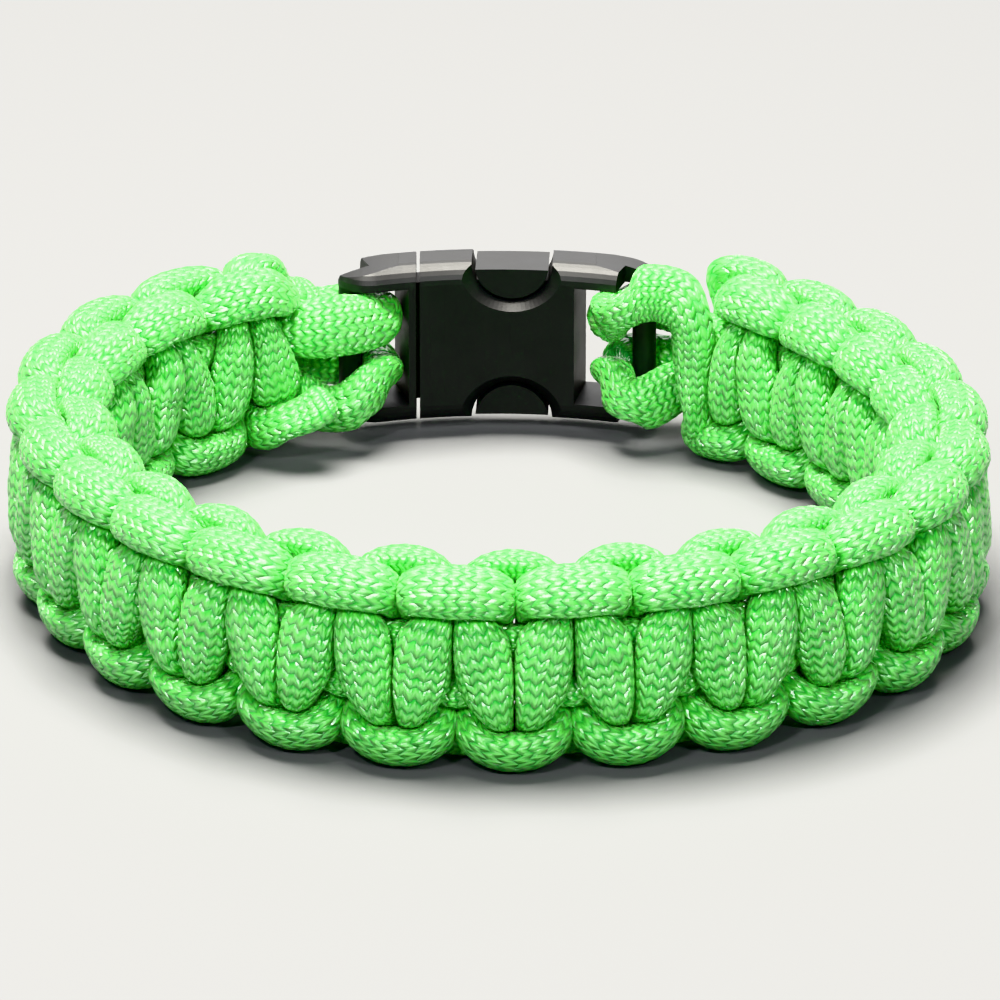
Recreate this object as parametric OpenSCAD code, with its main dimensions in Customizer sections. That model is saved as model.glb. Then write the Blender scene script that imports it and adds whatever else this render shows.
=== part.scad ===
// A bracelet knotted from one neon-green cord on a black side-release buckle.
// The loop's axis is Z and the band stands on its lower edge, on z = 0.
// The buckle is at the back (+Y), its socket half to +X and its plug half to -X.
// The knots are laid out along the band first, in three lengths of the band's own:
// along = distance along the loop's middle line, from the buckle's centre by way of +X,
// across = height above the band's middle line, out = distance outward from it.
// place() then bends these onto the loop.

/* [Loop] */
// Radius of the loop, to the middle of the band
loop_r = 35.2; // [34:0.2:38]
// Share of the radius by which the hand-shaped loop is out of round
loop_skew = 0.03; // [0:0.005:0.04]

/* [Cord] */
// Thickness of the cord before it is knotted
cord_d = 4; // [3.8:0.1:4.1]
// Gap between neighbouring surfaces
clearance = 0.16; // [0.12:0.02:0.2]

/* [Knots] */
// Wanted distance between one half knot and the next
knot_pitch = 4.3; // [4.1:0.1:4.8]
// Distance from the socket's bar to the first crossing
start_gap = 6.3; // [6.1:0.1:6.8]
// Distance from the last crossing to the plug's bar
end_gap = 8.3; // [8.1:0.1:9.3]
// Share by which the first knots lie closer together than the middle ones
knot_ease = 0.05; // [0:0.01:0.08]
// Share of a half knot by which the two crossings of a full knot lie closer together
knot_pair = 0.06; // [0:0.01:0.08]

/* [Buckle] */
// Length of the fastened buckle along the loop's middle line
buckle_len = 27.2; // [26.6:0.2:30]
// Height of the buckle at its middle
buckle_h = 14; // [13.8:0.2:15]
// Height that the buckle loses toward each end
buckle_taper = 2.6; // [1.6:0.2:2.6]
// Thickness of the buckle from its inner to its outer face
buckle_t = 5.4; // [5.2:0.2:6.6]
// Rounding of the buckle's long edges
edge_r = 1.6; // [1:0.1:1.7]
// Distance from the buckle's centre to the seam between its halves
seam_off = 6.8; // [6.2:0.2:7]
// Width of that seam
seam_gap = 0.3; // [0.2:0.05:0.4]
// Thickness of the bars that the cord goes round
bar_d = 2; // [1.8:0.1:2.4]
// Width of the plug's slot between bar and body
slot_w = 3.5; // [3.3:0.1:3.7]
// Width of the socket's slot
socket_slot_w = 4.6; // [3.4:0.2:4.8]
// Height of the slots
slot_h = 10.4; // [10.2:0.1:10.8]
// Wall of the socket above and below its hollow
side_wall = 1.5; // [1.2:0.1:1.8]
// Wall of the socket on its inner and outer face
face_wall = 1.2; // [1:0.1:1.4]
// Radius of the half-moon cut-outs
moon_r = 3.4; // [3:0.1:3.8]
// Distance from the buckle's centre to the middle of the cut-outs
moon_off = 1.3; // [0.8:0.1:1.5]
// Width of the bevel round the cut-outs
moon_bevel = 0.7; // [0.4:0.1:0.9]
// Play between the plug's prongs and the socket
fit_gap = 0.3; // [0.2:0.05:0.4]
// Thickness of the prongs' springy arms
arm_t = 1.4; // [1.2:0.1:1.6]
// How far the plug's collar reaches into the socket past the seam
collar = 1; // [0.5:0.1:1.5]
// How far the prongs' finger pads lie inside the buckle's faces
pad_inset = 0.5; // [0.3:0.1:0.8]

/* [Hidden] */
$fn = 64;
SIDES = 8;

// The cord's half thickness and half width where nothing presses it.
cord_out = 0.475 * cord_d;
cord_side = 0.575 * cord_d;

// Routes. Each row is one point of the cord's middle line.
ALONG = 0;
ACROSS = 1;
OUT = 2;

// One half knot of the outer cord, from the middle of a crossing on the outer face
// round the lower edge to the middle of the next crossing.
// along: share of the half knot's length; across, out: shares of cord_d.
KNOT_ROUTE = [
    [0.00, 0.00, 0.64],
    [-0.16, -0.76, 0.48],
    [-0.25, -1.24, 0.00],
    [0.14, -1.69, -0.42],
    [0.86, -1.69, -0.42],
    [1.25, -1.24, 0.00],
    [1.16, -0.76, 0.48],
];
// The working ends join the first half knot at this row, where it rounds the edge.
FIRST_ROW = 3;
// Height of each core strand's middle line above or below the band's.
core_across = 0.47 * cord_d;
// Where along each half knot the core has a row, as a share of it.
CORE_AT = 0.12;

// From here on, along is the distance from the bar toward the knots as a share of cord_d,
// and across and out are shares of cord_d too.
// A working end, from inside the socket's slot up over the rail and down the inner face.
OUTER_START = [
    [-0.53, 0.62, -0.02],
    [-0.55, 0.66, -0.22],
    [-0.53, 0.80, -0.62],
    [-0.42, 1.04, -1.08],
    [-0.05, 1.38, -1.20],
    [0.38, 1.58, -1.14],
    [0.92, 1.62, -1.02],
    [1.42, 1.40, -0.98],
    [1.72, 0.92, -0.92],
    [1.78, 0.30, -0.86],
    [1.80, -0.35, -0.80],
    [1.82, -1.02, -0.70],
];
// The other working end, from the lower bight up across the outer face.
INNER_START = [
    [-0.53, -0.64, 0.02],
    [-0.52, -0.64, 0.12],
    [-0.40, -0.66, 0.42],
    [0.05, -0.70, 0.66],
    [0.50, -0.78, 0.80],
    [0.95, -0.84, 0.92],
    [1.30, -0.56, 0.94],
    [1.52, -0.05, 0.88],
    [1.62, 0.60, 0.74],
    [1.66, 1.15, 0.58],
];
// The cut ends, past the last crossing, along counted from the plug's bar.
OUTER_END = [
    [2.27, -0.85, 0.40],
    [2.37, -1.24, -0.06],
    [2.30, -1.30, -0.58],
    [2.04, -1.04, -1.00],
    [1.57, -0.92, -1.22],
    [1.17, -0.70, -1.30],
    [0.97, -0.62, -1.30],
];
INNER_END = [
    [2.27, 0.85, -0.40],
    [2.37, 1.30, 0.10],
    [2.15, 1.70, 0.40],
    [1.77, 1.50, 0.54],
    [1.33, 1.08, 0.46],
    [0.90, 0.96, 0.42],
    [0.50, 1.06, 0.46],
];
// The upper core strand at the socket, from the knots over the bar's outer side.
CORE_AT_SOCKET = [
    [1.20, 0.47, 0.02],
    [0.84, 0.54, 0.26],
    [0.45, 0.60, 0.60],
    [-0.05, 0.64, 0.66],
    [-0.40, 0.64, 0.42],
    [-0.52, 0.64, 0.12],
    [-0.53, 0.64, 0.02],
];
// The lower core strand at the socket, which sags, over the bar's inner side.
CORE_BELOW_SOCKET = [
    [1.20, 0.60, -0.36],
    [0.84, 0.78, -0.62],
    [0.42, 0.98, -0.95],
    [0.02, 1.01, -1.06],
    [-0.32, 0.80, -0.84],
    [-0.51, 0.66, -0.22],
    [-0.53, 0.66, -0.02],
];
// The upper core strand at the plug, from the knots round the bar and into the bight.
CORE_AT_PLUG = [
    [2.27, 0.47, 0.00],
    [1.69, 0.50, -0.05],
    [1.31, 0.64, -0.40],
    [0.78, 0.70, -0.68],
    [0.10, 0.68, -0.66],
    [-0.40, 0.64, -0.42],
    [-0.55, 0.64, 0.00],
    [-0.40, 0.62, 0.42],
    [0.05, 0.52, 0.66],
    [0.55, 0.46, 0.84],
    [0.92, 0.28, 0.90],
];
// The lower core strand at the plug, which sags below the outer cord's cut end.
CORE_BELOW = [
    [2.27, 0.47, 0.00],
    [1.69, 0.60, -0.03],
    [1.31, 0.90, -0.34],
    [0.86, 1.12, -0.70],
    [0.28, 0.95, -1.00],
    [-0.34, 0.69, -0.66],
    [-0.55, 0.66, 0.00],
    [-0.40, 0.62, 0.42],
    [0.05, 0.52, 0.66],
    [0.55, 0.46, 0.84],
    [0.92, 0.28, 0.90],
];

// The loop. phi is the angle from the back, clockwise seen from above.
FADE_FROM = 25;
FADE_OVER = 20;
function wrapped(phi) = phi > 180 ? phi - 360 : phi;
function fade(phi) = let (x = min(1, max(0, (abs(wrapped(phi)) - FADE_FROM) / FADE_OVER)))
    x * x * (3 - 2 * x);
function radius_at(phi) =
    loop_r * (1 + loop_skew * fade(phi) * (0.36 * sin(4 * phi) - sin(2 * phi)));
function loop_point(phi) = radius_at(phi) * [sin(phi), cos(phi)];
function unit(a) = a / norm(a);
function outward(phi) = let (d = loop_point(phi + 0.5) - loop_point(phi - 0.5))
    unit([-d.y, d.x]);
// Rows of distance along the loop and the angle reached there.
TURN = [for (phi = 0, far = 0; phi <= 360;
    far = far + norm(loop_point(phi + 1) - loop_point(phi)), phi = phi + 1) [far, phi]];
loop_len = TURN[360][0];
// The knots stand farther out at the front than the buckle does at the back, so the loop's
// centre lies this far behind the middle of the whole.
shift_back = (KNOT_ROUTE[0][OUT] * cord_d + cord_out - buckle_t / 2) / 2;
// A point given by along, across and out, bent onto the loop.
function place(p) = let (phi = lookup(p[ALONG], TURN), q = loop_point(phi), n = outward(phi))
    [q.x + n.x * p[OUT], q.y + n.y * p[OUT] + shift_back, band_half + p[ACROSS]];

// Where the bars and the knots lie along the loop.
bar_at = (buckle_len - bar_d) / 2;
first_at = bar_at + start_gap;
last_at = loop_len - bar_at - end_gap;
knots = round((last_at - first_at) / knot_pitch / 2) * 2;
half_knot = (last_at - first_at) / knots;
// Half knots go two by two.
function paced(k) = k - knot_pair * cos(180 * k);
function knot_at(k) = let (x = paced(k) / knots)
    first_at + (last_at - first_at) * (x - knot_ease * x * (1 - x));

// One row of KNOT_ROUTE in knot k. flip is 1 for the outer cord and -1 for the inner cord.
function knot_row(k, i, flip) = let (r = KNOT_ROUTE[i], side = (k % 2 == 0 ? 1 : -1) * flip)
    [k + r[ALONG], side * r[ACROSS] * cord_d, flip * r[OUT] * cord_d];
function at_socket(r, side) =
    [bar_at + r[ALONG] * cord_d, side * r[ACROSS] * cord_d, r[OUT] * cord_d];
function at_plug(r, side) =
    [loop_len - bar_at - r[ALONG] * cord_d, side * r[ACROSS] * cord_d, r[OUT] * cord_d];

// How far a strand may swell from p in the direction n before it meets a flat wall.
// Each wall is [a point on it, its direction away from the strand].
function reach(p, n, free, walls) = min([free, for (w = walls)
    let (c = n * w[1]) if (c > 0.05) max(0.5, ((w[0] - p) * w[1] - clearance / 2) / c)]);
// Two strands press each other flat halfway between their middle lines.
function halfway(p, others) = [for (q = others) let (d = q - p, l = norm(d))
    if (l < 2.4 * cord_side && l > 0.3) [(p + q) / 2, d / l]];
// The directions that look round a strand at p, which runs along t, with the free reach of each.
function looks(p, t) = let (a = [0, p[ACROSS], p[OUT]], o = unit(a - (a * t) * t), s = cross(t, o))
    [for (j = [0 : SIDES - 1]) let (g = 360 * j / SIDES)
        [cos(g) * o + sin(g) * s, 1 / norm([cos(g) / cord_out, sin(g) / cord_side])]];
function tangent(path, i) = unit(path[min(i + 1, len(path) - 1)] - path[max(i - 1, 0)]);
// How far a strand swells round point i of its path. The skin is straight from ring to ring,
// so the walls are also looked for on the way to the next point on either side.
WAYS = [-0.3, 0, 0.3];
function between(path, i, x) = path[i] + abs(x) * (path[
    min(max(i + sign(x), 0), len(path) - 1)] - path[i]);
function swell(path, i, walls_at) = let (l = looks(path[i], tangent(path, i)),
    places = [for (x = WAYS) between(path, i, x)], walls = [for (q = places) walls_at(q)])
    [for (j = [0 : SIDES - 1]) min([for (m = [0 : len(WAYS) - 1])
        reach(places[m], l[j][0], l[j][1], walls[m])])];
// The points of a path with three more between each two.
function dense(path) = [for (i = [0 : len(path) - 2], x = [0 : 0.25 : 0.75])
    path[i] + x * (path[i + 1] - path[i])];
// The points of a path farther than one cord's width along it from point i.
function apart(path, i) = concat(
    dense([for (j = [0 : 1 : i - 3]) path[j]]), dense([for (j = [i + 3 : 1 : len(path) - 1]) path[j]]));

// The knots repeat, so the swelling is worked out for one full knot of an endless band.
function straight(p) = [paced(p[ALONG]) * half_knot, p[ACROSS], p[OUT]];
ROWS = len(KNOT_ROUTE);
BAND_OUTER = [for (k = [-2 : 3], i = [0 : ROWS - 1]) straight(knot_row(k, i, 1))];
BAND_INNER = [for (k = [-2 : 3], i = [0 : ROWS - 1]) straight(knot_row(k, i, -1))];
BAND_CORE = [for (side = [-1, 1]) [for (x = [-2 : 0.25 : 4]) straight([x, side * core_across, 0])]];
KNOT_SWELL = [for (i = [0 : 2 * ROWS - 1]) let (j = 2 * ROWS + i,
    others = concat(dense(BAND_INNER), BAND_CORE[0], BAND_CORE[1], apart(BAND_OUTER, j)))
    swell(BAND_OUTER, j, function (q) halfway(q, others))];
CORE_SWELL = let (path = [for (k = [-1 : 2]) straight([k + CORE_AT, core_across, 0])],
    others = concat(dense(BAND_OUTER), dense(BAND_INNER), BAND_CORE[0]))
    [for (i = [1, 2]) swell(path, i, function (q) halfway(q, others))];

// Half the band's height, down to the lowest point of its knots.
band_half = -min([for (i = [0 : 2 * ROWS - 1]) let (j = 2 * ROWS + i, p = BAND_OUTER[j],
    l = looks(p, tangent(BAND_OUTER, j)))
    for (m = [0 : SIDES - 1]) p[ACROSS] + KNOT_SWELL[i][m] * l[m][0][ACROSS]]);

// A swelling whose directions go round the other way, for the core's way back.
function mirrored(s) = [for (j = [0 : SIDES - 1]) s[(SIDES - j) % SIDES]];

// The whole middle lines of the three cords, from the socket to the plug.
function knot_points(flip) = [for (m = [FIRST_ROW : knots * ROWS - 1])
    let (r = knot_row(floor(m / ROWS), m % ROWS, flip)) [knot_at(r[ALONG]), r[ACROSS], r[OUT]]];
function last_crossing(flip) = let (r = knot_row(knots, 0, flip))
    [knot_at(r[ALONG]), r[ACROSS], r[OUT]];
function working_end(start, flip, end) = concat([for (r = start) at_socket(r, 1)],
    knot_points(flip), [last_crossing(flip)], [for (r = end) at_plug(r, 1)]);
OUTER_PATH = working_end(OUTER_START, 1, OUTER_END);
INNER_PATH = working_end(INNER_START, -1, INNER_END);
// The core runs out along the upper strand, round the plug's bar and back along the lower one.
function reversed(path) = [for (i = [len(path) - 1 : -1 : 0]) path[i]];
function core_half(side) = concat(
    reversed([for (r = (side > 0 ? CORE_AT_SOCKET : CORE_BELOW_SOCKET)) at_socket(r, side)]),
    [for (k = [0 : knots - 1]) [knot_at(k + CORE_AT), side * core_across, 0]],
    [for (r = (side > 0 ? CORE_AT_PLUG : CORE_BELOW)) at_plug(r, side)]);
CORE_HALF_ROWS = len(CORE_AT_SOCKET) + knots + len(CORE_AT_PLUG);
CORE_PATH = concat(core_half(1), reversed(core_half(-1)));
PATHS = [OUTER_PATH, INNER_PATH, CORE_PATH];

// Near the buckle the strands are pressed by the bars and slots as well as by each other.
START_TO = first_at + 1.4 * half_knot;
END_FROM = last_at - 1.4 * half_knot;
function is_start(p) = p[ALONG] < START_TO;
function is_end(p) = p[ALONG] > END_FROM;
// All points of each cord that lie near one end of the knots.
START_NEAR = [for (path = PATHS) [for (q = dense(path)) if (q[ALONG] < START_TO + 8) q]];
END_NEAR = [for (path = PATHS) [for (q = dense(path)) if (q[ALONG] > END_FROM - 8) q]];
// The flat walls of a bar and its slot, seen from p. toward is 1 at the socket's end.
function slot_of(toward) = toward > 0 ? socket_slot_w : slot_w;
function slot_walls(p, bar, toward) = let (d = [bar - p[ALONG], 0, -p[OUT]], l = norm(d))
    l > bar_d + cord_d ? [] : concat(
        [[[bar, 0, 0] - d / l * bar_d / 2 + [0, p[ACROSS], 0], d / l]],
        abs(p[OUT]) > buckle_t / 2 ? [] : [[[bar - toward * (bar_d / 2 + slot_of(toward)), 0, 0],
            [-toward, 0, 0]]],
        abs(p[OUT]) < buckle_t / 2 + 0.9 || (p[ALONG] - bar) * toward > bar_d ? []
            : [[[bar, 0, sign(p[OUT]) * buckle_t / 2], [0, 0, -sign(p[OUT])]]],
        (p[ALONG] - bar) * toward > bar_d / 2 ? [] : [for (s = [-1, 1])
            [[0, s * slot_h / 2, 0], [0, s, 0]]]);
// The points of the three cords that press on point i of cord c.
function pressing(c, i, near) = concat([for (m = [0 : 2]) if (m != c) each near[m]],
    let (own = [for (j = [max(0, i - 3) : min(len(PATHS[c]) - 1, i + 3)]) PATHS[c][j]], line = dense(
        concat(own, [own[len(own) - 1]])))
        [for (q = near[c]) if (min([for (o = line) norm(o - q)]) > 0.4) q]);
function end_swell(c, i, near, bar, toward) = let (others = pressing(c, i, near))
    swell(PATHS[c], i, function (q) concat(halfway(q, others), slot_walls(q, bar, toward)));
// Rows of [point, swelling] of cord c. regular(i) is its swelling among the knots.
function rows_of(c, regular) = [for (i = [0 : len(PATHS[c]) - 1]) let (p = PATHS[c][i])
    [p, is_start(p) ? end_swell(c, i, START_NEAR, bar_at, 1)
    : is_end(p) ? end_swell(c, i, END_NEAR, loop_len - bar_at, -1) : regular(i)]];
function knot_rows(c, start) =
    rows_of(c, function (i) KNOT_SWELL[(i - len(start) + FIRST_ROW) % (2 * ROWS)]);
function core_rows() = rows_of(2, function (i) i < CORE_HALF_ROWS
    ? CORE_SWELL[(i - len(CORE_AT_SOCKET)) % 2]
    : mirrored(CORE_SWELL[(2 * CORE_HALF_ROWS - 1 - i - len(CORE_AT_SOCKET)) % 2]));

// A closed skin through rows of [point, swelling], with a low dome on each end.
module strand(rows, first_dome, last_dome) {
    path = [for (r = rows) r[0]];
    n = len(rows);
    ring_points = [for (i = [0 : n - 1]) let (p = path[i], l = looks(p, tangent(path, i)))
        for (j = [0 : SIDES - 1]) place(p + rows[i][1][j] * l[j][0])];
    tips = [place(path[0] - first_dome * tangent(path, 0)),
        place(path[n - 1] + last_dome * tangent(path, n - 1))];
    function at(i, j) = i * SIDES + j % SIDES;
    skin = [for (i = [0 : n - 2], j = [0 : SIDES - 1])
        each [[at(i, j), at(i, j + 1), at(i + 1, j + 1)], [at(i, j), at(i + 1, j + 1), at(i + 1, j)]]];
    lids = [for (j = [0 : SIDES - 1])
        each [[n * SIDES, at(0, j + 1), at(0, j)], [n * SIDES + 1, at(n - 1, j), at(n - 1, j + 1)]]];
    polyhedron(concat(ring_points, tips), concat(skin, lids));
}

module outer_cord() {
    color("limegreen") strand(knot_rows(0, OUTER_START), 0, cord_d / 8);
}

module inner_cord() {
    color("limegreen") strand(knot_rows(1, INNER_START), 0, cord_d / 8);
}

module core_cord() {
    color("limegreen") strand(core_rows(), 0, 0);
}

// A sector of a ring at the back, from angle a to angle b, whose profile is the child.
module sector(a, b) {
    rotate([0, 0, 90 - b]) rotate_extrude(angle = b - a, $fn = 180)
        translate([loop_r, 0]) children();
}
// A rectangle about the origin with rounded corners.
module rounded(w, h, r) {
    polygon([for (c = [[1, 1, 0], [-1, 1, 90], [-1, -1, 180], [1, -1, 270]], g = [0 : 15 : 90])
        [c[0] * (w / 2 - r) + r * cos(c[2] + g), c[1] * (h / 2 - r) + r * sin(c[2] + g)]]);
}
function turn_of(far) = far / loop_r * 180 / PI;
half_turn = turn_of(buckle_len / 2);

// In plan the body ends in a half circle round this angle.
nose_turn = turn_of((buckle_len - buckle_t) / 2);
module nose(toward) {
    rotate([0, 0, -toward * nose_turn]) translate([0, loop_r]) rotate([0, 0, toward * 90 - 91])
        rotate_extrude(angle = 182) intersection() {
            rounded(buckle_t, buckle_h, edge_r);
            translate([0, -buckle_h]) square(2 * buckle_h);
        }
}

// The buckle's body from x = a to x = b, before anything is cut from it. Beyond the seam its
// height falls off toward each end, as the square of the way there.
module body(a, b) {
    reach_x = (loop_r + buckle_t / 2) * sin(half_turn);
    fall = [for (f = [0.2 : 0.1 : 1.1]) [seam_off + f * (reach_x - seam_off),
        (buckle_h - buckle_taper * f * f) / 2]];
    right = concat([[seam_off, buckle_h]], fall, [for (i = [len(fall) - 1 : -1 : 0]) [fall[i].x, -fall[i].y]],
        [[seam_off, -buckle_h]]);
    left = [for (i = [len(right) - 1 : -1 : 0]) [-right[i].x, right[i].y]];
    intersection() {
        union() {
            sector(-nose_turn, nose_turn) rounded(buckle_t, buckle_h, edge_r);
            nose(1);
            nose(-1);
        }
        translate([0, loop_r + buckle_t]) rotate([90, 0, 0])
            linear_extrude(loop_r / 2) polygon(concat(right, left));
        translate([a, 0, -buckle_h]) cube([b - a, 2 * loop_r, 2 * buckle_h]);
    }
}
// The window that leaves a rail above and below, and the bar across it.
// toward is 1 at the socket's end and -1 at the plug's.
module window(toward) {
    from = turn_of(bar_at - bar_d / 2 - slot_of(toward));
    to = half_turn + 1;
    sector(toward > 0 ? from : -to, toward > 0 ? to : -from) square([2 * buckle_t, slot_h], center = true);
}
module bar(toward) {
    rotate([0, 0, -toward * turn_of(bar_at)]) translate([0, loop_r, -slot_h / 2 - 0.4])
        cylinder(d = bar_d, h = slot_h + 0.8);
}
// A round plug through the buckle at the middle of the cut-outs, above or below.
module at_moon(side) {
    rotate([0, 0, -turn_of(moon_off)]) translate([0, loop_r, side * buckle_h / 2])
        rotate([90, 0, 0]) children();
}
module moon(r, side) {
    at_moon(side) cylinder(r = r, h = 2 * buckle_t, center = true);
}
// The same with its rims bevelled on both faces of the buckle.
module bevelled_moon(side) {
    moon(moon_r, side);
    at_moon(side) for (face = [0, 1]) mirror([0, 0, face])
        translate([0, 0, buckle_t / 2 - moon_bevel])
            cylinder(r1 = moon_r, r2 = moon_r + 2 * moon_bevel, h = 2 * moon_bevel);
}

hollow_h = buckle_h - 2 * side_wall;
hollow_t = buckle_t - 2 * face_wall;
prong_end = turn_of(moon_off + moon_r + fit_gap);

module buckle_socket() {
    color([0.08, 0.08, 0.09]) translate([0, shift_back, band_half]) {
        difference() {
            body(seam_gap - seam_off, loop_r);
            sector(-half_turn, prong_end + turn_of(1)) square([hollow_t, hollow_h], center = true);
            bevelled_moon(1);
            bevelled_moon(-1);
            window(1);
        }
        bar(1);
    }
}

module buckle_plug() {
    prong_t = hollow_t - 2 * fit_gap;
    prong_h = hollow_h - 2 * fit_gap;
    root = -turn_of((seam_off + bar_at - bar_d / 2 - slot_w) / 2);
    color([0.08, 0.08, 0.09]) translate([0, shift_back, band_half]) {
        difference() {
            body(-loop_r, -seam_off);
            window(-1);
        }
        bar(-1);
        for (side = [1, -1]) {
            sector(root, prong_end) translate([0, side * (prong_h - arm_t) / 2])
                square([prong_t, arm_t], center = true);
            intersection() {
                moon(moon_r - fit_gap, side);
                sector(-half_turn, half_turn) translate([0, side * buckle_h / 4])
                    square([buckle_t - 2 * pad_inset, buckle_h / 2 - 2 * pad_inset], center = true);
            }
        }
        sector(root, turn_of(moon_off)) square([prong_t, 2 * arm_t], center = true);
        sector(root, -turn_of(seam_off - collar)) square([prong_t, prong_h], center = true);
    }
}

buckle_socket();
buckle_plug();
core_cord();
outer_cord();
inner_cord();
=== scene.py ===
# %% [markdown]
# # A knotted cord bracelet
# The object is a bracelet of neon-green cord: about 2.3 m of 4 mm braided nylon, knotted
# tightly round its own core strands and closed by a black side-release buckle. It stands on
# its edge as a loop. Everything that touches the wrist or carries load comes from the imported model,
# and this script adds what a quick stand-in leaves out: the round, pressed shape of each
# strand, its braided sheath, the melted ends, and the sheen of nylon and moulded plastic.

# %% Load the fixed frame
import math
import bpy
import numpy as np
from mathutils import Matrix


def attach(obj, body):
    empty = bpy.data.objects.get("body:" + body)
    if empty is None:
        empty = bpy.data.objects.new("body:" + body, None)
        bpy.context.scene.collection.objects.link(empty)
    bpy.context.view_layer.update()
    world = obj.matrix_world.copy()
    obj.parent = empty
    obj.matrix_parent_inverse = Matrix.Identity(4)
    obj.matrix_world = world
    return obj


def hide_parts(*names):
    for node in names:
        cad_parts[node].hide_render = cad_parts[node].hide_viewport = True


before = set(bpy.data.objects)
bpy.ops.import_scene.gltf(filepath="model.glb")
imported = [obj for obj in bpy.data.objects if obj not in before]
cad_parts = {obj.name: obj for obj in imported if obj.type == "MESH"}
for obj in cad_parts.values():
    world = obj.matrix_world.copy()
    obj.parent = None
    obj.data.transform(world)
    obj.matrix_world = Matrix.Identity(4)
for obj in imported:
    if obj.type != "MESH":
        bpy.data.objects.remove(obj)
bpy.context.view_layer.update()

MM = 0.001
print("nodes:", sorted(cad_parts))

# %% [markdown]
# ## Camera
# The picture is a telephoto close-up, taken from in front and a little above. A long lens
# far away keeps the near and far sides of the loop almost the same size, so the lens and the
# distance are chosen together: 750 mm away, the loop fills the frame.

# %% Camera
CAMERA_UP = math.radians(22.24)
CAMERA_FAR = 750 * MM
LOOK_AT = np.array([0.23, 0.77, 7.705]) * MM
LENS = 334.7

camera_data = bpy.data.cameras.new("camera")
camera_data.lens = LENS
camera_data.sensor_width = 36
camera_data.sensor_fit = "HORIZONTAL"
camera = bpy.data.objects.new("camera", camera_data)
camera.location = LOOK_AT + CAMERA_FAR * np.array([0, -math.cos(CAMERA_UP), math.sin(CAMERA_UP)])
camera.rotation_euler = (math.pi / 2 - CAMERA_UP, 0, 0)
bpy.context.scene.collection.objects.link(camera)
bpy.context.scene.camera = camera
print("camera at", np.round(np.array(camera.location), 3))

# %% [markdown]
# ## Floor and light
# A plain pale floor and soft studio lights. A large soft box above gives the tops of the
# knots their near-white light and leaves their undersides a deep green. A second one low
# behind the loop draws a bright rim along the edges, because every surface mirrors more
# light at a glancing angle, and lights the top of the black buckle in the same way. Two small
# ones in front make the glints on the yarns, and the surroundings fill the shadows a little.
# A neon dye is more saturated than the usual film-like view can show. The neutral view keeps
# such a green and lets only the brightest parts pale toward white.

# %% Floor and lights
def flat_material(name, colour, roughness):
    """One colour all over, for what isn't part of the object."""
    material = bpy.data.materials.new(name)
    material.use_nodes = True
    shader = material.node_tree.nodes["Principled BSDF"]
    shader.inputs["Base Color"].default_value = (*colour, 1)
    shader.inputs["Roughness"].default_value = roughness
    return material

def soft_box(name, place, toward, size, watts, colour=(1, 1, 1)):
    """A square area light at a place, turned to face a point."""
    data = bpy.data.lights.new(name, "AREA")
    data.shape, data.size, data.energy, data.color = "SQUARE", size, watts, colour
    light = bpy.data.objects.new(name, data)
    light.location = place
    way = np.array(toward) - np.array(place)
    flat = math.hypot(way[0], way[1])
    light.rotation_euler = (math.atan2(flat, -way[2]), 0, math.atan2(way[1], way[0]) - math.pi / 2)
    bpy.context.scene.collection.objects.link(light)
    return light

floor_mesh = bpy.data.meshes.new("floor")
floor_mesh.from_pydata([(-3, -3, 0), (3, -3, 0), (3, 3, 0), (-3, 3, 0)], [], [(0, 1, 2, 3)])
floor = bpy.data.objects.new("floor", floor_mesh)
floor.data.materials.append(flat_material("pale floor", (0.108, 0.11, 0.116), 0.8))
bpy.context.scene.collection.objects.link(floor)

world = bpy.data.worlds.new("studio")
world.use_nodes = True
world.node_tree.nodes["Background"].inputs["Color"].default_value = (1, 1, 1, 1)
world.node_tree.nodes["Background"].inputs["Strength"].default_value = 0.12
bpy.context.scene.world = world
bpy.context.scene.view_settings.view_transform = "Khronos PBR Neutral"
soft_box("overhead", (-0.04, 0.06, 0.48), (0, 0, 0), 0.30, 18.0, (1, 0.97, 0.88))
soft_box("behind", (0.05, 0.60, 0.27), (0, 0, 0.01), 0.36, 1.2)
soft_box("front left", (-0.13, -0.42, 0.34), (0, -0.02, 0), 0.05, 1.8)
soft_box("front right", (0.16, -0.44, 0.30), (0, -0.02, 0), 0.05, 1.5)

# %% [markdown]
# ## The loop
# The band isn't a true circle: worn bracelets settle a little askew. The model's source bends
# a straight band onto this loop, so the same function is used here. A point is given by its
# distance along the loop from the middle of the buckle, its height above the band's middle,
# and its distance outward. Making the knots straight first and bending them last is much
# simpler than knotting in a curve.

# %% Bend a straight band onto the loop
LOOP_R, LOOP_SKEW = 35.2, 0.03
CORD = 4.0
SHIFT_BACK, BAND_HALF = 0.88, 8.509

def smooth(x):
    """0 below 0, 1 above 1, and the cubic 3x^2 - 2x^3 between."""
    x = np.clip(x, 0, 1)
    return x * x * (3 - 2 * x)

def radius_at(phi):
    """The loop's radius at an angle in degrees from the back, clockwise seen from above."""
    fade = smooth((np.abs((phi + 180) % 360 - 180) - 25) / 20)
    turn = np.radians(phi)
    return LOOP_R * (1 + LOOP_SKEW * fade * (0.36 * np.sin(4 * turn) - np.sin(2 * turn)))

def loop_point(phi):
    """The point of the loop at an angle: its radius times (sine, cosine)."""
    turn = np.radians(phi)
    return radius_at(phi)[..., None] * np.stack([np.sin(turn), np.cos(turn)], -1)

DEGREES = np.arange(361.0)
TURN = np.r_[0, np.cumsum(np.linalg.norm(np.diff(loop_point(DEGREES), axis=0), axis=1))]
LOOP_LEN = TURN[-1]

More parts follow.
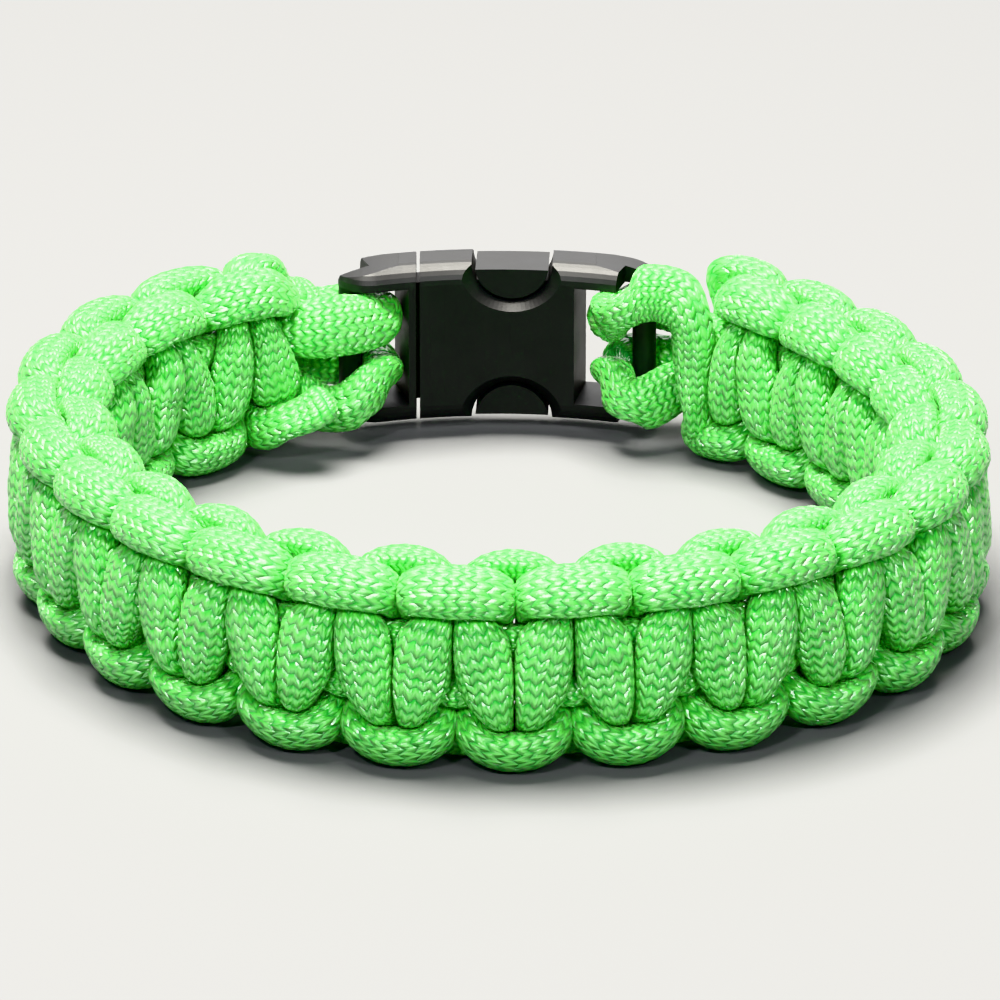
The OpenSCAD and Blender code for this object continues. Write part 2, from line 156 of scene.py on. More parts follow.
def bend(points):
    """(along, height, outward) in mm to (x, y, z): the loop's point plus outward times its
    normal."""
    phi = np.interp(points[..., 0], TURN, DEGREES)
    way = loop_point(phi + 0.5) - loop_point(phi - 0.5)
    way /= np.linalg.norm(way, axis=-1, keepdims=True)
    flat = loop_point(phi) + points[..., 2:] * np.stack([-way[..., 1], way[..., 0]], -1)
    return np.concatenate([flat + [0, SHIFT_BACK], BAND_HALF + points[..., 1:2]], -1)

print("loop length %.2f mm" % LOOP_LEN)

# %% [markdown]
# ## How the cord runs
# The knot is the plain square weave used for such bracelets, also called a cobra weave. Two
# core strands run the whole way round. One working end always crosses on the outer face and
# the other always on the inner face, and after each crossing both dive round the edge, over
# the end that comes from the other side. Half knots mirror each other, so the whole weave is
# one short route, repeated, mirrored in height for every second half knot, and turned half a
# turn about the band for the other end. It could be drawn by eye as curves, but a table of
# shares of the cord's thickness keeps it true to the model's own route.

# %% Tables of the route
# Shares: along of a half knot's length, height and outward of the cord's thickness.
HALF_KNOT = np.array([
    (0.000, 0.000, 0.638), (-0.085, -0.400, 0.612), (-0.170, -0.780, 0.475),
    (-0.240, -1.050, 0.200), (-0.235, -1.250, -0.120), (-0.080, -1.440, -0.370),
    (0.200, -1.570, -0.500), (0.500, -1.610, -0.540), (0.800, -1.570, -0.500),
    (1.080, -1.440, -0.370), (1.235, -1.250, -0.120), (1.240, -1.050, 0.200),
    (1.170, -0.780, 0.475), (1.085, -0.400, 0.612)])
CORE_HEIGHT = 0.47
# The working ends join the first half knot at this row, where it rounds the edge.
FIRST_ROW = 6
# From here on along is counted from a buckle bar toward the knots, in cord thicknesses.
OUTER_START = np.array([
    (-.53, .62, -.02), (-.55, .66, -.22), (-.53, .80, -.62), (-.42, 1.04, -1.08),
    (-.05, 1.38, -1.20), (.38, 1.58, -1.14), (.92, 1.62, -1.02), (1.42, 1.40, -.98),
    (1.72, .92, -.92), (1.78, .30, -.86), (1.80, -.35, -.80), (1.82, -1.02, -.70)])
INNER_START = np.array([
    (-.53, -.64, .02), (-.52, -.64, .12), (-.40, -.66, .42), (.05, -.70, .66), (.50, -.78, .80),
    (.95, -.84, .92), (1.30, -.56, .94), (1.52, -.05, .88), (1.62, .60, .74),
    (1.66, 1.15, .58)])
OUTER_END = np.array([
    (2.27, -.85, .40), (2.37, -1.24, -.06), (2.30, -1.30, -.58), (2.04, -1.04, -1.00),
    (1.57, -.92, -1.22), (1.17, -.70, -1.30), (.97, -.62, -1.30)])
INNER_END = np.array([
    (2.27, .85, -.40), (2.37, 1.30, .10), (2.15, 1.70, .40), (1.77, 1.50, .54),
    (1.33, 1.08, .46), (.90, .96, .42), (.50, 1.06, .46)])
CORE_AT_SOCKET = np.array([
    (1.20, .47, .02), (.84, .54, .26), (.45, .60, .60), (-.05, .64, .66), (-.40, .64, .42),
    (-.52, .64, .12), (-.53, .64, .02)])
CORE_BELOW_SOCKET = np.array([
    (1.20, .60, -.36), (.84, .78, -.62), (.42, .98, -.95), (.02, 1.01, -1.06),
    (-.32, .80, -.84), (-.51, .66, -.22), (-.53, .66, -.02)])
CORE_AT_PLUG = np.array([
    (2.27, .47, 0), (1.69, .50, -.05), (1.31, .64, -.40), (.78, .70, -.68), (.10, .68, -.66),
    (-.40, .64, -.42), (-.55, .64, 0), (-.40, .62, .42), (.05, .52, .66), (.55, .46, .84),
    (.92, .28, .90)])
CORE_BELOW = np.array([
    (2.27, .47, 0), (1.69, .60, -.03), (1.31, .90, -.34), (.86, 1.12, -.70), (.28, .95, -1.00),
    (-.34, .69, -.66), (-.55, .66, 0), (-.40, .62, .42), (.05, .52, .66), (.55, .46, .84),
    (.92, .28, .90)])

BUCKLE_LEN, BAR_D, START_GAP, END_GAP = 27.2, 2.0, 6.3, 8.3
KNOT_PITCH, KNOT_EASE, PAIRING = 4.3, 0.05, 0.06
BAR_AT = (BUCKLE_LEN - BAR_D) / 2
PLUG_BAR = LOOP_LEN - BAR_AT
FIRST, LAST = BAR_AT + START_GAP, PLUG_BAR - END_GAP
KNOTS = round((LAST - FIRST) / KNOT_PITCH / 2) * 2
print(KNOTS, "half knots of %.2f mm" % ((LAST - FIRST) / KNOTS))

# %% Middle lines of the three cords
def knot_at(k):
    """Distance along the loop of half knot k. Two half knots make one full knot, so they lie
    closer to each other than to the next two, and the spacing grows a little along the way."""
    x = (k - PAIRING * np.cos(np.pi * np.asarray(k))) / KNOTS
    return FIRST + (LAST - FIRST) * (x - KNOT_EASE * x * (1 - x))

def at_bar(table, bar, toward, side=1):
    """A table's rows placed from a buckle bar; side -1 mirrors the height."""
    return np.stack([bar + toward * CORD * table[:, 0], side * CORD * table[:, 1],
                     CORD * table[:, 2]], -1)

def knot_rows(flip):
    """The half knot repeated. Odd ones are mirrored in height, the other end in both. Each is
    a little unlike the rest, because a hand pulled it tight."""
    k = np.arange(KNOTS)[:, None]
    side = np.where(k % 2 == 0, 1, -1) * flip
    by_hand = np.random.default_rng(40 + flip).normal(0, 1, (3, KNOTS, 1)).clip(-2, 2)
    rows = np.stack([knot_at(k + HALF_KNOT[:, 0] + 0.025 * by_hand[0]),
                     side * CORD * HALF_KNOT[:, 1] * (1 + 0.012 * by_hand[1]),
                     flip * CORD * HALF_KNOT[:, 2] * (1 + 0.03 * by_hand[2])], -1)
    last = [knot_at(KNOTS + HALF_KNOT[0, 0]), flip * CORD * HALF_KNOT[0, 1],
            flip * CORD * HALF_KNOT[0, 2]]
    return np.vstack([rows.reshape(-1, 3), last])

def working_end(start, flip, end):
    """Out of the socket, through all half knots, and on to the melted end at the plug."""
    return np.vstack([at_bar(start, BAR_AT, 1), knot_rows(flip)[FIRST_ROW:],
                      at_bar(end, PLUG_BAR, -1)])

def core_half(side):
    """One core strand from the socket's slot to the plug's."""
    k = np.arange(KNOTS) + 0.12
    straight = np.stack([knot_at(k), np.full(len(k), side * CORE_HEIGHT * CORD), 0 * k], -1)
    start, end = ((CORE_AT_SOCKET, CORE_AT_PLUG) if side > 0
                  else (CORE_BELOW_SOCKET, CORE_BELOW))
    return np.vstack([at_bar(start, BAR_AT, 1, side)[::-1], straight,
                      at_bar(end, PLUG_BAR, -1, side)])

ROUTES = {"outer_cord": working_end(OUTER_START, 1, OUTER_END),
          "inner_cord": working_end(INNER_START, -1, INNER_END),
          "core_cord": np.vstack([core_half(1), core_half(-1)[::-1]])}

# %% Smooth lines through the rows
STEP = 0.33

def through(points, samples=12):
    """A curve through points: cubic pieces whose end slopes weigh both neighbours by their
    distance, sampled evenly within each piece."""
    p = np.vstack([2 * points[0] - points[1], points, 2 * points[-1] - points[-2]])
    gap = np.sqrt(np.linalg.norm(np.diff(p, axis=0), axis=1))[:, None]
    slope = np.diff(p, axis=0) / gap
    wide = (p[2:] - p[:-2]) / (gap[:-1] + gap[1:])
    knot_slope = slope[:-1] + slope[1:] - wide
    x = np.linspace(0, 1, samples, endpoint=False)[:, None, None]
    a, b, g = p[1:-2], p[2:-1], gap[1:-1]
    m, n = knot_slope[:-1] * g, knot_slope[1:] * g
    curve = ((2 * x**3 - 3 * x**2 + 1) * a + (x**3 - 2 * x**2 + x) * m
             + (3 * x**2 - 2 * x**3) * b + (x**3 - x**2) * n)
    return np.vstack([curve.transpose(1, 0, 2).reshape(-1, 3), points[-1]])

def even(curve, step=STEP):
    """The same curve at equal steps of length."""
    far = np.r_[0, np.cumsum(np.linalg.norm(np.diff(curve, axis=0), axis=1))]
    s = np.linspace(0, far[-1], int(round(far[-1] / step)) + 1)
    return np.stack([np.interp(s, far, curve[:, i]) for i in range(3)], -1)

def eased(values, times):
    """Each row becomes a quarter, a half and a quarter of itself and its neighbours."""
    for _ in range(times):
        inner = (values[:-2] + 2 * values[1:-1] + values[2:]) / 4
        values = np.concatenate([values[:1], inner, values[-1:]])
    return values

RAISED = 0.5

def raised(line):
    """The upper edge stands RAISED mm prouder than the lower one, between the two ends."""
    far = np.minimum(line[:, 0] - BAR_AT, PLUG_BAR - line[:, 0])
    lift = RAISED * smooth((line[:, 1] - 2) / 4) * smooth((far - 4) / 6)
    return line + lift[:, None] * [0, 1, 0]

LINES = {name: even(raised(eased(even(through(rows)), 5))) for name, rows in ROUTES.items()}
for name, line in LINES.items():
    print(name, "%.0f mm" % np.linalg.norm(np.diff(line, axis=0), axis=1).sum())

# %% [markdown]
# ## How the strands press each other
# A knotted cord is nowhere round. Two strands that touch flatten each other halfway between
# their middle lines, and where nothing presses, the cord stays oval. So each section is found
# by looking outward from the middle line in many directions: the wall toward a neighbour's
# point is the plane halfway to it, and the nearest wall or the free oval, whichever is
# closer, gives the radius there. A soft body simulation of 2 m of knotted cord would take
# far longer, and would creep out of the model's box.

# %% Look round each strand
LOOKS = 48
CLEARANCE = 0.10
FREE_OUT, FREE_SIDE = 0.39 * CORD, 0.66 * CORD
ANGLES = np.arange(LOOKS) * 2 * np.pi / LOOKS
PLUG_SLOT, SOCKET_SLOT, SLOT_H, BUCKLE_T = 3.5, 4.6, 10.4, 5.4

def unit(v):
    return v / np.maximum(np.linalg.norm(v, axis=-1, keepdims=True), 1e-9)

def frames(line):
    """The way the cord runs, the direction its flat side faces, and the one across. The flat
    side faces away from the band's middle, more outward than up where it rounds an edge."""
    t = unit(np.gradient(line, axis=0))
    away = line * [0, 0.3, 1]
    o = unit(away - (away * t).sum(-1, keepdims=True) * t)
    return t, o, np.cross(t, o)

def looking(o, s):
    """A fan of directions round the strand: cosine times outward plus sine times across."""
    return np.cos(ANGLES)[:, None] * o[:, None] + np.sin(ANGLES)[:, None] * s[:, None]

def plane_reach(p, ways, point, away):
    """Distance from p along each direction to a plane; infinite where it faces away."""
    c = (ways * away[:, None]).sum(-1)
    room = ((point - p) * away).sum(-1)[:, None] - CLEARANCE / 2
    return np.where(c > 0.05, np.maximum(room, 0.5) / np.maximum(c, 0.05), np.inf)

def buckle_reach(p, ways, bar, toward):
    """Distance to the bar, to the slot's far wall and to the slot's two ends."""
    d = np.stack([bar - p[:, 0], 0 * p[:, 0], -p[:, 2]], -1)
    far = np.linalg.norm(d, axis=1)
    near = far < BAR_D + CORD
    bar_point = np.stack([np.full(len(p), bar), p[:, 1], 0 * p[:, 0]], -1) - unit(d) * BAR_D / 2
    reach = np.where(near[:, None], plane_reach(p, ways, bar_point, unit(d)), np.inf)
    inside = near & (np.abs(p[:, 2]) < BUCKLE_T / 2)
    slot = SOCKET_SLOT if toward > 0 else PLUG_SLOT
    wall = np.array([bar - toward * (BAR_D / 2 + slot), 0, 0])
    back = np.tile([-toward, 0.0, 0.0], (len(p), 1))
    reach = np.where(inside[:, None], np.minimum(reach, plane_reach(p, ways, wall, back)), reach)
    rim = near & (np.abs(p[:, 2]) > BUCKLE_T / 2 + 0.9) & ((p[:, 0] - bar) * toward < BAR_D)
    face = np.sign(p[:, 2:]) * [0, 0, 1]
    reach = np.where(rim[:, None], np.minimum(
        reach, plane_reach(p, ways, face * BUCKLE_T / 2 + [bar, 0, 0], -face)), reach)
    between = near & ((p[:, 0] - bar) * toward < BAR_D / 2)
    for side in (-1.0, 1.0):
        end = plane_reach(p, ways, np.array([0, side * SLOT_H / 2, 0]),
                          np.tile([0, side, 0.0], (len(p), 1)))
        reach = np.where(between[:, None], np.minimum(reach, end), reach)
    return reach

ALL = np.vstack(list(LINES.values()))
CORD_OF = np.repeat(np.arange(3), [len(line) for line in LINES.values()])
ROW_OF = np.concatenate([np.arange(len(line)) for line in LINES.values()])
ORDER = np.argsort(ALL[:, 0], kind="stable")
ALL, CORD_OF, ROW_OF = ALL[ORDER], CORD_OF[ORDER], ROW_OF[ORDER]

def wall_reach(number, line, ways, block=48, window=5.6, own=4.6):
    """For each direction n the least of |q - p|^2 / (2 n.(q - p)) over all nearby points q of
    the cords, apart from this cord's own points within one width along it."""
    reach = np.full(ways.shape[:2], np.inf, np.float32)
    for i in range(0, len(line), block):
        p, w = line[i:i + block], ways[i:i + block].astype(np.float32)
        a, b = np.searchsorted(ALL[:, 0], [p[:, 0].min() - window, p[:, 0].max() + window])
        d = (ALL[None, a:b] - p[:, None]).astype(np.float32)
        far = (d * d).sum(-1)
        same = CORD_OF[a:b] == number
        gap = np.abs(ROW_OF[None, a:b] - (i + np.arange(len(p)))[:, None]) * STEP
        skip = (same[None] & (gap < own)) | (far > window**2)
        c = np.einsum("pkx,pqx->pkq", w, d)
        r = np.where((c > 0.05) & ~skip[:, None], far[:, None] / np.maximum(2 * c, 0.1), np.inf)
        reach[i:i + block] = r.min(-1)
    return reach - CLEARANCE / 2

def blended(a, b, power=8):
    """A soft minimum: the power mean that rounds the corner where two limits meet."""
    return (np.maximum(a, 0.3) ** -power + b ** -power) ** (-1 / power)

# A strand that crosses the band's face is drawn in at two heights, counted toward the edge
# that it comes from. Each row is a height, a spread and the share taken off the width.
WAISTS = ((-3.8, 2.1, 0.52), (4.2, 1.0, 0.15))
# The inside of a bend can't be thicker than this share of the bend's radius.
BEND_SHARE = 0.85

def pressed(number, line, area=10.5):
    """Radii of the sections: the walls, the band's two edges, the free oval and the inside of
    bends, softly joined. Where walls take much of a section away, the rest bulges to keep the
    cord's own area."""
    t, o, s = frames(line)
    ways = looking(o, s)
    walls = wall_reach(number, line, ways)
    for bar, toward in ((BAR_AT, 1), (PLUG_BAR, -1)):
        walls = np.minimum(walls, buckle_reach(line, ways, bar, toward))
    for side in (-1.0, 1.0):
        walls = np.minimum(walls, plane_reach(line, ways, np.array([0, side * BAND_HALF, 0]),
                                              np.tile([0, side, 0.0], (len(line), 1))))
    curl = (ways * (np.gradient(t, axis=0) / STEP)[:, None]).sum(-1)
    inner = np.where(curl > 0.05, BEND_SHARE / np.maximum(curl, 0.05), np.inf)
    walls = np.minimum(walls, inner)
    v = line[:, 1] * (1, -1, 0)[number]
    waist = 1 - sum(taken * np.exp(-((v - height) / spread) ** 2)
                    for height, spread, taken in WAISTS)
    side = np.sin(ANGLES) / (FREE_SIDE * (waist[:, None] if number < 2 else 1))
    grow = np.ones((len(line), 1))
    for _ in range(3):
        r = blended(walls, 1 / np.hypot(np.cos(ANGLES) / (FREE_OUT * grow), side))
        size = (r * np.roll(r, -1, 1)).sum(1) * np.sin(2 * np.pi / LOOKS) / 2
        grow = np.clip(grow * np.sqrt(area / size)[:, None], 0.9, 1.35)
        grow = eased(grow, 12)
    r = eased(r, 3)
    r = (np.roll(r, 1, 1) + 2 * r + np.roll(r, -1, 1)) / 4
    return r, ways, t, o, s, size

SECTIONS = {name: pressed(i, line) for i, (name, line) in enumerate(LINES.items())}
for name, section in SECTIONS.items():
    print(name, "section %.1f mm2, least %.1f" % (section[-1].mean(), section[-1].min()))

# %% [markdown]
# ## The braided sheath
# The cord's sheath is a braid of 24 yarns that pass over and under two at a time. What shows
# is columns of short slanting floats, leaning left and right by turns, so that the rows read
# as fine zigzags. They could be painted on as bump, but in a close-up the outline of
# the cord shows them too, so each float is a small raised cushion in the mesh. The columns
# keep equal widths round the section, and the angle they start from is carried along the
# cord without twisting, because the real sheath doesn't turn where the cord bends.

# %% A sheath round a pressed strand
WALES = 24
COURSE = 0.78
SLANT = 0.36
RELIEF = 0.06

def column_places(section, columns):
    """Angles of the columns at each ring: equal shares of the girth, counted from a direction
    that is carried along without twist."""
    r, ways, t, o, s, _ = section
    ring = r[:, :, None] * ways
    sides = np.linalg.norm(np.roll(ring, -1, 1) - ring, axis=-1)
    girth = np.concatenate([np.zeros((len(r), 1)), np.cumsum(sides, 1)], 1)
    share = girth / girth[:, -1:]
    turning = -(np.gradient(o, axis=0) * s).sum(-1)
    start = np.cumsum(turning)
    rows = np.arange(len(r))[:, None]
    wide = np.append(ANGLES, 2 * np.pi)
    known = (share + rows).ravel()
    first = np.interp((start % (2 * np.pi) / (2 * np.pi) + rows[:, 0]),
                      (wide / (2 * np.pi) + rows).ravel(), share.ravel())
    asked = (first[:, None] + columns) % 1 * 0.999999
    return np.interp((asked + rows).ravel(), known, np.tile(wide, len(r))).reshape(asked.shape)

def ring_points(line, section, angles):
    """Points of the pressed skin at given angles of each ring."""
    r, ways, t, o, s, _ = section
    x = angles / (2 * np.pi) * LOOKS
    i = np.floor(x).astype(int)
    part = x - i
    rows = np.arange(len(r))[:, None]
    reach = r[rows, i % LOOKS] * (1 - part) + r[rows, (i + 1) % LOOKS] * part
    way = np.cos(angles)[..., None] * o[:, None] + np.sin(angles)[..., None] * s[:, None]
    return line[:, None], way, reach

def sheath(line, section, across, along, heights, tip=1.5):
    """The strand's skin as a grid of rows along the cord and columns round it. Each float of
    the braid takes len(along) rows and len(across) columns; heights gives how far each of
    them is raised. Rows lean to and fro by SLANT from column to column. At both ends the
    girth closes as a quarter circle and the braid fades, as in a melted end."""
    total = (len(line) - 1) * STEP
    columns = (np.arange(WALES)[:, None] + np.array(across)).ravel() / WALES
    lean = np.where(np.arange(WALES) % 2 == 0, 1, -1)[:, None] * np.array(across)
    lean = (lean + (np.arange(WALES) % 2)[:, None]).ravel() * SLANT
    courses = int(total // COURSE)
    size = total / courses
    b = (np.arange(courses)[:, None] + np.array(along)).ravel()
    s = np.append(b * size, total)
    fade = smooth(np.minimum(s, total - s) / (2 * tip) - 0.2)
    far = np.clip(s[:, None] + (lean - SLANT / 2) * fade[:, None], 0, total)
    middle, way, reach = ring_points(line, section, column_places(section, columns))
    x = far / STEP
    i = np.minimum(x.astype(int), len(line) - 2)
    part = (x - i)[..., None]
    c = np.arange(len(columns))[None]
    skin = middle + way * reach[..., None]
    skin = skin[i, c] * (1 - part) + skin[i + 1, c] * part
    axis = middle[i, 0] * (1 - part) + middle[i + 1, 0] * part
    lift = np.tile(heights, (courses, WALES))
    lift = np.vstack([lift, lift[:1]]) * fade[:, None]
    end = np.clip(np.minimum(s, total - s) / tip, 0, 1)
    close = np.sqrt(np.maximum(1 - (1 - end) ** 2, 0.002))[:, None, None]
    out = unit(skin - axis)
    points = axis + (skin - axis) * close + out * (lift * RELIEF)[..., None]
    weave = np.stack(np.broadcast_arrays(
        np.append(columns, 1.0)[None] * WALES, np.append(b, courses)[:, None]), -1)
    return points, weave

# %% [markdown]
# ## Nylon
# Braided nylon is glossy along its fibres and nearly matt across them. Each float is a
# bundle of fine filaments, so the finish adds thin lines along the float and a slightly
# different green for each float. The colour also carries painted shade, deeper where yarns
# dip under one another, and painted light, paler on the crown of each float. The pattern
# follows the sheath through its own map, one unit a column and one unit a course, so it stays
# the same size however the strand is pressed. All of it is one node group, so that a cord of
# another colour could have the same braid.

# %% Node helpers and the braid group
def add(tree, kind, **sockets):
    """A node with some of its inputs set by name or number, to a value or to a socket."""
    node = tree.nodes.new(kind)
    for key, value in sockets.items():
        target = node.inputs[int(key[1:]) if key[0] == "i" and key[1:].isdigit() else key]
        if isinstance(value, bpy.types.NodeSocket):
            tree.links.new(value, target)
        else:
            target.default_value = value
    return node

def maths(tree, operation, a, b=0.0, c=0.0):
    """A Math node's result for up to three numbers or sockets."""
    node = add(tree, "ShaderNodeMath", i0=a, i1=b, i2=c)
    node.operation = operation
    return node.outputs[0]

def group(name, inputs, outputs):
    """An empty node group with named float, colour or vector sockets."""
    tree = bpy.data.node_groups.new(name, "ShaderNodeTree")
    for label, kind, start in inputs:
        socket = tree.interface.new_socket(label, in_out="INPUT", socket_type=kind)
        if start is not None:
            socket.default_value = start
    for label, kind in outputs:
        tree.interface.new_socket(label, in_out="OUTPUT", socket_type=kind)
    return tree, tree.nodes.new("NodeGroupInput").outputs, tree.nodes.new("NodeGroupOutput").inputs

def braid_group():
    """Map (column, course) to the height of the yarns, the light that reaches them, and a
    share from 0 to 1 that differs from float to float. A float is round across its own width,
    as 1 - x^2, dips at its two ends, tilts a little to one side or the other, and carries
    fine lines along it. A slow noise makes the rows swerve a little."""
    tree, given, put = group(
        "braid", [("Map", "NodeSocketVector", None), ("Filaments", "NodeSocketFloat", 9.0)],
        [("Height", "NodeSocketFloat"), ("Painted light and shade", "NodeSocketFloat"), ("Tint", "NodeSocketFloat")])
    wander = add(tree, "ShaderNodeTexNoise", Vector=given["Map"], Scale=0.4, Detail=1.0)
    swerve = add(tree, "ShaderNodeVectorMath", i0=wander.outputs["Color"], i1=(0.7, 0.7, 0.0),
                 i2=given["Map"])
    swerve.operation = "MULTIPLY_ADD"
    part = add(tree, "ShaderNodeSeparateXYZ", i0=swerve.outputs[0]).outputs
    cell = add(tree, "ShaderNodeVectorMath", i0=swerve.outputs[0])
    cell.operation = "FLOOR"
    random = add(tree, "ShaderNodeTexWhiteNoise", Vector=cell.outputs[0])
    random.noise_dimensions = "2D"
    tree.links.new(random.outputs["Value"], put["Tint"])
    lines = add(tree, "ShaderNodeCombineXYZ",
                i0=maths(tree, "MULTIPLY", part[0], 0.8),
                i1=maths(tree, "MULTIPLY", part[1], given["Filaments"]),
                i2=maths(tree, "MULTIPLY", random.outputs["Value"], 20.0))
    grain = add(tree, "ShaderNodeTexNoise", Vector=lines.outputs[0], Scale=1.0, Detail=2.0)
    x = maths(tree, "MULTIPLY_ADD", maths(tree, "FRACT", part[1]), 2.0, -1.0)
    y = maths(tree, "MULTIPLY_ADD", maths(tree, "FRACT", part[0]), 2.0, -1.0)
    round_x = maths(tree, "SUBTRACT", 1.0, maths(tree, "MULTIPLY", x, x))
    dip_y = maths(tree, "SUBTRACT", 1.0, maths(tree, "MULTIPLY", y, y))
    lift = maths(tree, "MULTIPLY", round_x, maths(tree, "MULTIPLY_ADD", dip_y, 0.35, 0.65))
    tilt = maths(tree, "MULTIPLY", x, maths(
        tree, "MULTIPLY_ADD", random.outputs["Value"], 0.9, -0.45))
    uneven = maths(tree, "MULTIPLY_ADD", grain.outputs["Fac"], 0.25, tilt)
    tree.links.new(maths(tree, "ADD", lift, uneven), put["Height"])
    # The float's height profile also goes out as the mask of painted light and shade for the colour.
    tree.links.new(lift, put["Painted light and shade"])
    return tree

BRAID = braid_group()
print("groups:", [g.name for g in bpy.data.node_groups])

# %% The green nylon material
def nylon(name, deep, bright):
    """Green nylon with painted shade deep in the grooves and painted light on the floats, with a
    soft sheen. The melted attribute of a piece is 1 where its end was melted, which is darker and
    smoother."""
    material = bpy.data.materials.new(name)
    material.use_nodes = True
    tree = material.node_tree
    shader = tree.nodes["Principled BSDF"]
    uv = add(tree, "ShaderNodeUVMap")
    uv.uv_map = "weave"
    braid = add(tree, "ShaderNodeGroup")
    braid.node_tree = BRAID
    tree.links.new(uv.outputs[0], braid.inputs["Map"])
    melted = add(tree, "ShaderNodeAttribute")
    melted.attribute_name = "melted"
    # Painted shade and light: the green goes from the groove colour to the float colour with the
    # float's height, so grooves are painted darker and crowns paler. The random share per float is
    # the yarn's own tone.
    tone_and_painted_shade = maths(tree, "MULTIPLY_ADD", braid.outputs["Tint"], 0.3,
                       maths(tree, "MULTIPLY", braid.outputs["Painted light and shade"], 0.7))
    colour = add(tree, "ShaderNodeMix", i0=tone_and_painted_shade, i6=(*deep, 1), i7=(*bright, 1))
    colour.data_type = "RGBA"
    ending = add(tree, "ShaderNodeMix", i0=melted.outputs["Fac"], i6=colour.outputs[2],
                 i7=(*[0.55 * c for c in deep], 1))
    ending.data_type = "RGBA"
    tree.links.new(ending.outputs[2], shader.inputs["Base Color"])
    rough = maths(tree, "MULTIPLY_ADD", braid.outputs["Tint"], 0.12, 0.16)
    tree.links.new(rough, shader.inputs["Roughness"])
    bump = add(tree, "ShaderNodeBump", Strength=1.0, Distance=0.24 * MM,
               Height=braid.outputs["Height"])
    tree.links.new(bump.outputs[0], shader.inputs["Normal"])
    shader.inputs["Specular IOR Level"].default_value = 1.0
    shader.inputs["IOR"].default_value = 1.8
    shader.inputs["Sheen Weight"].default_value = 0.15
    shader.inputs["Sheen Roughness"].default_value = 0.5
    shader.inputs["Sheen Tint"].default_value = (0.85, 1.0, 0.65, 1)
    return material

# The first green is the groove colour with painted shade, the second the float colour with painted
# light.
NYLON = nylon("green nylon", (0.0, 0.41, 0.035), (0.14, 0.71, 0.10))

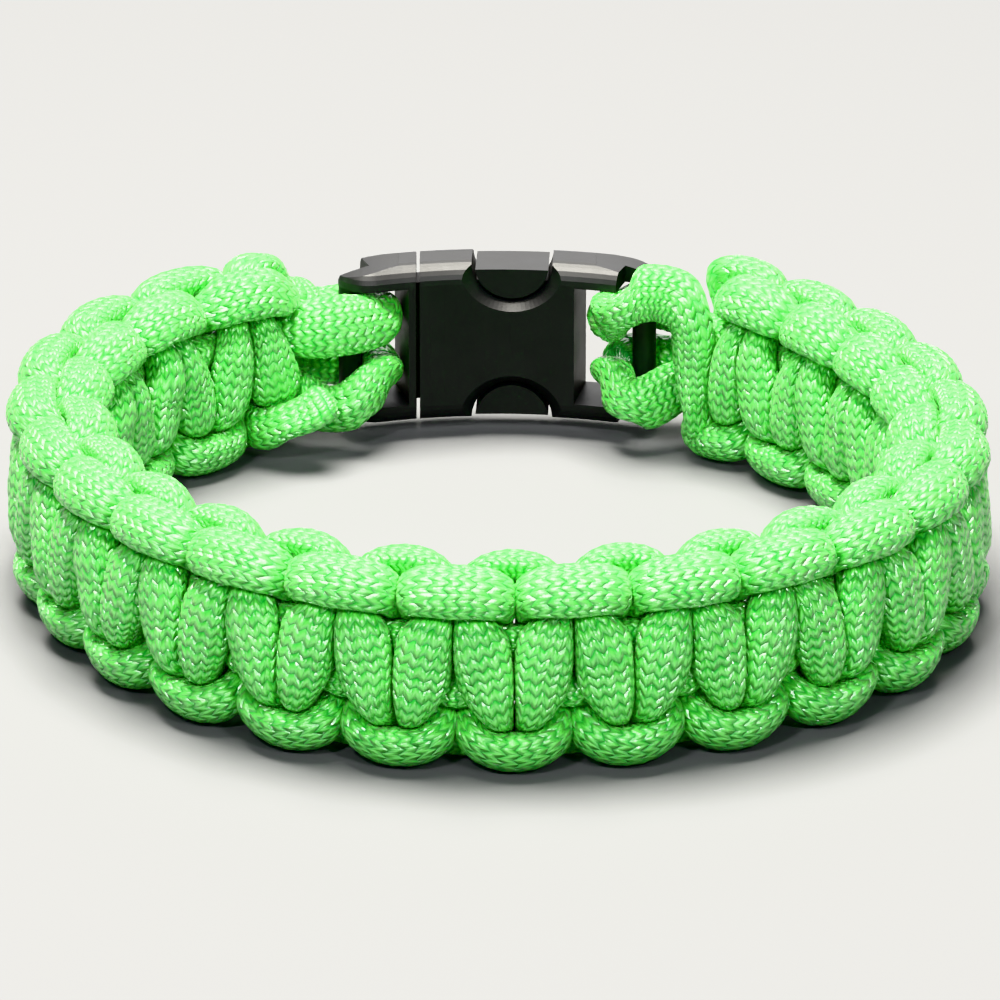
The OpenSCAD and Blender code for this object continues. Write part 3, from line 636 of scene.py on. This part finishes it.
# %% Pieces of sheath
def skin_piece(name, points, weave, material, node, flat_start=False, flat_end=False):
    """A closed skin over a grid of rows and columns, with a pole at each end. Where a long
    cord is cut in two pieces only to keep each mesh small, the cap there is flat."""
    rows, columns = points.shape[:2]
    poles = points[[0, -1]].mean(1)
    vertices = bend(np.vstack([points.reshape(-1, 3), poles])) * MM
    r, c = np.meshgrid(np.arange(rows - 1), np.arange(columns), indexing="ij")
    d = (c + 1) % columns
    quads = np.stack([r * columns + c, (r + 1) * columns + c, (r + 1) * columns + d,
                      r * columns + d], -1).reshape(-1, 4)
    quad_map = np.stack([weave[r, c], weave[r + 1, c], weave[r + 1, c + 1], weave[r, c + 1]],
                        2).reshape(-1, 2)
    k = np.arange(columns)
    last = (rows - 1) * columns
    head = np.stack([np.full(columns, rows * columns), k, (k + 1) % columns], -1)
    tail = np.stack([np.full(columns, rows * columns + 1), last + (k + 1) % columns, last + k], -1)
    head_map = np.stack([(weave[0, :-1] + weave[0, 1:]) / 2, weave[0, :-1], weave[0, 1:]], 1)
    tail_map = np.stack([(weave[-1, :-1] + weave[-1, 1:]) / 2, weave[-1, 1:], weave[-1, :-1]], 1)
    corners = np.concatenate([quads.ravel(), head.ravel(), tail.ravel()])
    sizes = np.concatenate([np.full(len(quads), 4), np.full(2 * columns, 3)])
    mesh = bpy.data.meshes.new(name)
    mesh.vertices.add(len(vertices))
    mesh.vertices.foreach_set("co", vertices.ravel())
    mesh.loops.add(len(corners))
    mesh.loops.foreach_set("vertex_index", corners)
    mesh.polygons.add(len(sizes))
    mesh.polygons.foreach_set("loop_start", np.r_[0, np.cumsum(sizes)[:-1]])
    mesh.uv_layers.new(name="weave").data.foreach_set(
        "uv", np.vstack([quad_map, head_map.reshape(-1, 2), tail_map.reshape(-1, 2)]).ravel())
    course = weave[:, 0, 1]
    soft = np.zeros(rows)
    if not flat_start:
        soft = np.maximum(soft, 1 - smooth((course - course[0]) / 1.6))
    if not flat_end:
        soft = np.maximum(soft, 1 - smooth((course[-1] - course) / 1.6))
    melted = mesh.attributes.new("melted", "FLOAT", "POINT")
    melted.data.foreach_set("value", np.r_[np.repeat(soft, columns), soft[[0, -1]]])
    mesh.update(calc_edges=True)
    mesh.validate()
    shade_flat = np.zeros(len(mesh.polygons), bool)
    if flat_start:
        shade_flat[len(quads):len(quads) + columns] = True
    if flat_end:
        shade_flat[len(quads) + columns:] = True
    mesh.polygons.foreach_set("use_smooth", ~shade_flat)
    mesh.materials.append(material)
    piece = bpy.data.objects.new(name, mesh)
    bpy.context.scene.collection.objects.link(piece)
    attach(piece, "root")
    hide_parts(node)
    faces = 2 * len(quads) + 2 * columns
    print("%s: %d triangles" % (name, faces))
    return piece

FLOAT = dict(across=(0, 0.5), along=(0, 0.5), heights=np.array([[-0.5, -0.25], [-0.25, 0.5]]))
for node in ROUTES:
    points, weave = sheath(LINES[node], SECTIONS[node], **FLOAT)
    half = len(points) // 2
    skin_piece(node + "_first_half", points[:half + 1], weave[:half + 1], NYLON, node,
               flat_end=True)
    skin_piece(node + "_second_half", points[half:], weave[half:], NYLON, node, flat_start=True)

# %% [markdown]
# ## The buckle
# The buckle is moulded in black acetal: a satin surface with a fine spark-eroded grain, and
# edges that catch the light. Its shape is right in the model, so its two parts stay as they
# are and only get their finish.

# %% Moulded plastic
def moulded_plastic(name):
    """Near-black plastic whose roughness and height vary with a fine grain."""
    material = bpy.data.materials.new(name)
    material.use_nodes = True
    tree = material.node_tree
    shader = tree.nodes["Principled BSDF"]
    place = add(tree, "ShaderNodeTexCoord").outputs["Object"]
    grain = add(tree, "ShaderNodeTexNoise", Vector=place, Scale=9000.0, Detail=2.0).outputs["Fac"]
    cloud = add(tree, "ShaderNodeTexNoise", Vector=place, Scale=400.0, Detail=3.0).outputs["Fac"]
    colour = add(tree, "ShaderNodeMix", i0=cloud, i6=(0.004, 0.004, 0.005, 1),
                 i7=(0.009, 0.009, 0.010, 1))
    colour.data_type = "RGBA"
    tree.links.new(colour.outputs[2], shader.inputs["Base Color"])
    tree.links.new(maths(tree, "MULTIPLY_ADD", cloud, 0.12, 0.42), shader.inputs["Roughness"])
    shader.inputs["Specular IOR Level"].default_value = 0.35
    bump = add(tree, "ShaderNodeBump", Strength=0.25, Distance=0.02 * MM, Height=grain)
    tree.links.new(bump.outputs[0], shader.inputs["Normal"])
    return material

PLASTIC = moulded_plastic("black moulded plastic")
for node in ("buckle_socket", "buckle_plug"):
    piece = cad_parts[node]
    for slot in piece.material_slots:
        slot.material = PLASTIC
    print(node, len(piece.data.polygons), "faces,", len(piece.material_slots), "slots")
